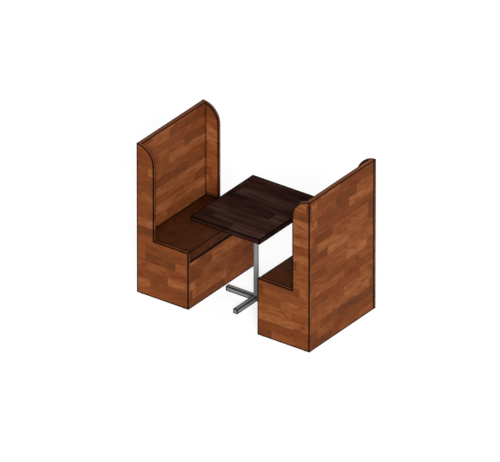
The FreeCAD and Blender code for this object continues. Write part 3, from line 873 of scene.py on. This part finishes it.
def seat_outline(low, high, inset, radius, amount=0.0):
    """Points round a seat at one distance inside its edge, always as many, with rounded corners."""
    centre_x = (low.x + inset + radius, high.x - inset - radius)
    centre_y = (low.y + inset + radius, high.y - inset - radius)
    arcs = []
    for quarter, (x, y) in enumerate(((1, 1), (0, 1), (0, 0), (1, 0))):
        turns = [math.pi / 2 * (quarter + part / (corner_points - 1)) for part in range(corner_points)]
        arcs.append([
            Vector((centre_x[x] + radius * math.cos(turn), centre_y[y] + radius * math.sin(turn), 0))
            for turn in turns
        ])
    points = []
    for quarter, arc in enumerate(arcs):
        next_corner = arcs[(quarter + 1) % 4][0]
        count = side_points[quarter % 2]
        points += arc[:-1] + [arc[-1].lerp(next_corner, part / count) for part in range(count)]
    middle, half = (low + high) / 2, (high - low) / 2
    return [drawn_in(point, middle, half, amount) for point in points]


piping_tree, given = start_growth("piping_cord", ("Radius",))
path = add(piping_tree, "GeometryNodeMeshToCurve", [given])
section = add(piping_tree, "GeometryNodeCurvePrimitiveCircle", {
    "Resolution": 12, "Radius": given.outputs["Radius"],
})
cord = add(piping_tree, "GeometryNodeCurveToMesh", {"Curve": path, "Profile Curve": section})
end_growth(piping_tree, cord, vinyl("dark_piping_vinyl", piping_tones, piping_gloss))
for side, (low, high, _) in seats.items():
    for name, height, amount in (
        ("top_piping", seam_height - top_piping_drop, draw_in),
        ("bottom_piping", low.z + bottom_piping_lift, 0),
    ):
        path = [Vector((p.x, p.y, height)) for p in seat_outline(low, high, piping_inset, edge_roll, amount)]
        piping = grow(path_object(side + name, path, True), piping_tree, {"Radius": piping_radius})
        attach(piping, side + "seat")

# Topstitching beside the seats' piping. Bonded polyester thread, one row of lockstitches round the top
# panel, each stitch pulled slightly into the vinyl.

stitch_length = 0.0036
stitch_width = 0.0008
stitch_pitch = 0.0046
stitch_inset = 0.0082
stitch_lift = 0.00024              # how far a stitch's middle is above the vinyl
clear_above = 0.05                 # a height over the crown from which the stitches are dropped
thread_twist = 0.0006
thread_tones = ["#2A150B", "#4A2A18"]


def on_surface(points, surface, start_z, lift):
    """The points dropped onto a surface and lifted off it a little."""
    laid = []
    for point in points:
        start = Vector((point.x, point.y, start_z))
        spot, normal, _, _ = surface.ray_cast(start, Vector((0, 0, -1)))
        laid.append(spot + normal * lift if spot else start)
    return laid


thread = bpy.data.materials.new("brown_polyester_thread")
tree = blank(thread)
place = add(tree, "ShaderNodeTexCoord").outputs["Object"]
twist = add(tree, "ShaderNodeTexNoise", {"Vector": place, "Scale": 1 / thread_twist})
coat(tree, {"Base Color": add(tree, "ShaderNodeValToRGB", [twist], thread_tones), "Roughness": 0.7})
stitch_tree = row_tree("stitch_row", thread)
for side, (low, high, pad) in seats.items():
    depsgraph = bpy.context.evaluated_depsgraph_get()
    surface = BVHTree.FromObject(pad.evaluated_get(depsgraph), depsgraph)
    line = seat_outline(low, high, stitch_inset, edge_roll, draw_in)
    laid = on_surface(line, surface, high.z + clear_above, stitch_lift)
    stitches = grow(path_object(side + "top_stitches", laid, True), stitch_tree,
                    {"Length": stitch_length, "Width": stitch_width, "Pitch": stitch_pitch})
    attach(stitches, side + "seat")

# Hems of the seat covers. The vinyl is turned under the board and stapled down, so that it lies in a
# 24 mm border which is pressed in along the row of staples and puckers where it turns the corners.

hem_profile = (                    # distance in from the edge and height over the cover's lowest point
    (0.0006, 0.0024), (0.0006, 0.0011), (0.0020, 0.0003), (0.0065, 0.0001), (0.0110, 0.0004),
    (0.0135, 0.0009), (0.0160, 0.0005), (0.0215, 0.0002), (0.0240, 0.0006), (0.0240, 0.0014),
)
hem_corner = 0.0012                # the smallest radius at its corners
pucker_depth = 0.0004
pucker_fade = (0.030, 0.060)       # how far from a corner the puckers begin and end to fade
puckers_round = 90

for side, (low, high, _) in seats.items():
    rows = []
    for inset, height in hem_profile:
        outline = seat_outline(low, high, inset, max(edge_roll - inset, hem_corner))
        rows.append([Vector((p.x, p.y, low.z + height)) for p in outline])
    middle = (low + high) / 2
    box_corners = [Vector((x, y)) for x in (low.x, high.x) for y in (low.y, high.y)]
    for row in rows[2:-1]:
        for point in row:
            from_corner = min((point.xy - corner).length for corner in box_corners)
            fade = 1 - smooth_step(from_corner, *pucker_fade)
            turn = math.atan2(point.y - middle.y, point.x - middle.x)
            point.z += pucker_depth * fade * (1 + math.cos(turn * puckers_round)) / 2
    form = bmesh.new()
    loops = [[form.verts.new(point) for point in row] for row in rows]
    for level, loop in enumerate(loops):
        after = loops[(level + 1) % len(loops)]
        for index in range(len(loop)):
            beside = (index + 1) % len(loop)
            form.faces.new([loop[index], loop[beside], after[beside], after[index]])
    bmesh.ops.recalc_face_normals(form, faces=form.faces)
    mesh = bpy.data.meshes.new(side + "hem")
    form.to_mesh(mesh)
    form.free()
    for face in mesh.polygons:
        face.use_smooth = True
    mesh.materials.append(cover_vinyl)
    hem = put(side + "seat_hem", mesh)
    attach(hem, side + "seat")

# Floor, light and camera. The photograph is a parallel view on plain white, lit alike from all sides.
# A long lens far away gives that view, from the side and the height that the slopes of its edges give.

floor_size = 60
floor_bounce = "#AAAAAA"           # the floor for light that comes off it onto the object
floor_shade = "#959595"            # the part of the seen floor's white that takes the object's shadow
floor_glow = 0.78                  # and the part that doesn't
sky_level = 0.12
suns = (                           # name, direction towards it, strength and width in degrees
    ("soft_key", (0.57, -0.71, 0.42), 3.85, 20),
    ("soft_side", (0.85, 0.0, 0.5), 0.4, 40),
    ("soft_left", (-0.98, -0.05, 0.18), 2.3, 40),
    ("soft_back", (0.10, 0.98, 0.18), 2.3, 40),
)


def seen_white(tree):
    """1 for the rays that see the floor and the sky as plain white: direct, mirrored or through glass."""
    rays = add(tree, "ShaderNodeLightPath").outputs
    seen = add(tree, "ShaderNodeMath", [rays["Is Camera Ray"], rays["Is Glossy Ray"]], operation="ADD")
    return add(tree, "ShaderNodeMath", [seen, rays["Is Transmission Ray"]], operation="ADD", use_clamp=True)


floor_mesh = bpy.data.meshes.new("floor")
floor_corners = [(x * floor_size / 2, y * floor_size / 2, 0) for x, y in ((-1, -1), (1, -1), (1, 1), (-1, 1))]
floor_mesh.from_pydata(floor_corners, [], [(0, 1, 2, 3)])
floor_paint = bpy.data.materials.new("white_floor")
tree = blank(floor_paint)
seen = seen_white(tree)
matt = add(tree, "ShaderNodeBsdfDiffuse", {"Color": tinted(tree, linear(floor_bounce), seen, floor_shade)})
glow = add(tree, "ShaderNodeMath", [seen, floor_glow], operation="MULTIPLY")
glow = add(tree, "ShaderNodeEmission", {"Strength": glow})
both = add(tree, "ShaderNodeAddShader", [matt, glow])
add(tree, "ShaderNodeOutputMaterial", {"Surface": both})
floor_mesh.materials.append(floor_paint)
put("floor", floor_mesh)

world = bpy.data.worlds.new("studio")
bpy.context.scene.world = world
tree = blank(world)
brightness = add(tree, "ShaderNodeMapRange", [seen_white(tree), 0, 1, sky_level, 1])
sky = add(tree, "ShaderNodeBackground", {"Color": (1, 1, 1, 1), "Strength": brightness})
add(tree, "ShaderNodeOutputWorld", {"Surface": sky})

for name, towards, strength, width in suns:
    lamp = bpy.data.lights.new(name, "SUN")
    lamp.energy = strength
    lamp.angle = math.radians(width)
    holder = put(name, lamp)
    holder.rotation_mode = "QUATERNION"
    holder.rotation_quaternion = Vector(towards).to_track_quat("Z", "Y")

view_azimuth = math.radians(35.89)
view_elevation = math.radians(28.93)
pixels_per_metre = 139.5
frame_width = 500
centre_from_origin = (-6.15, 69.17)    # photo pixels, right and up, from the set's origin to the centre
lens = 1500
clip_range = (10, 400)

across = Vector((math.cos(view_azimuth), math.sin(view_azimuth), 0))
back = Vector((math.sin(view_azimuth) * math.cos(view_elevation),
               -math.cos(view_azimuth) * math.cos(view_elevation), math.sin(view_elevation)))
upward = back.cross(across)
target = (across * centre_from_origin[0] + upward * centre_from_origin[1]) / pixels_per_metre
camera_data = bpy.data.cameras.new("camera")
camera_data.lens = lens
camera_data.clip_start, camera_data.clip_end = clip_range
distance = frame_width / pixels_per_metre * lens / camera_data.sensor_width
camera = put("camera", camera_data)
camera.location = target + back * distance
camera.rotation_mode = "QUATERNION"
camera.rotation_quaternion = back.to_track_quat("Z", "Y")
bpy.context.scene.camera = camera
bpy.context.scene.view_settings.view_transform = "Standard"
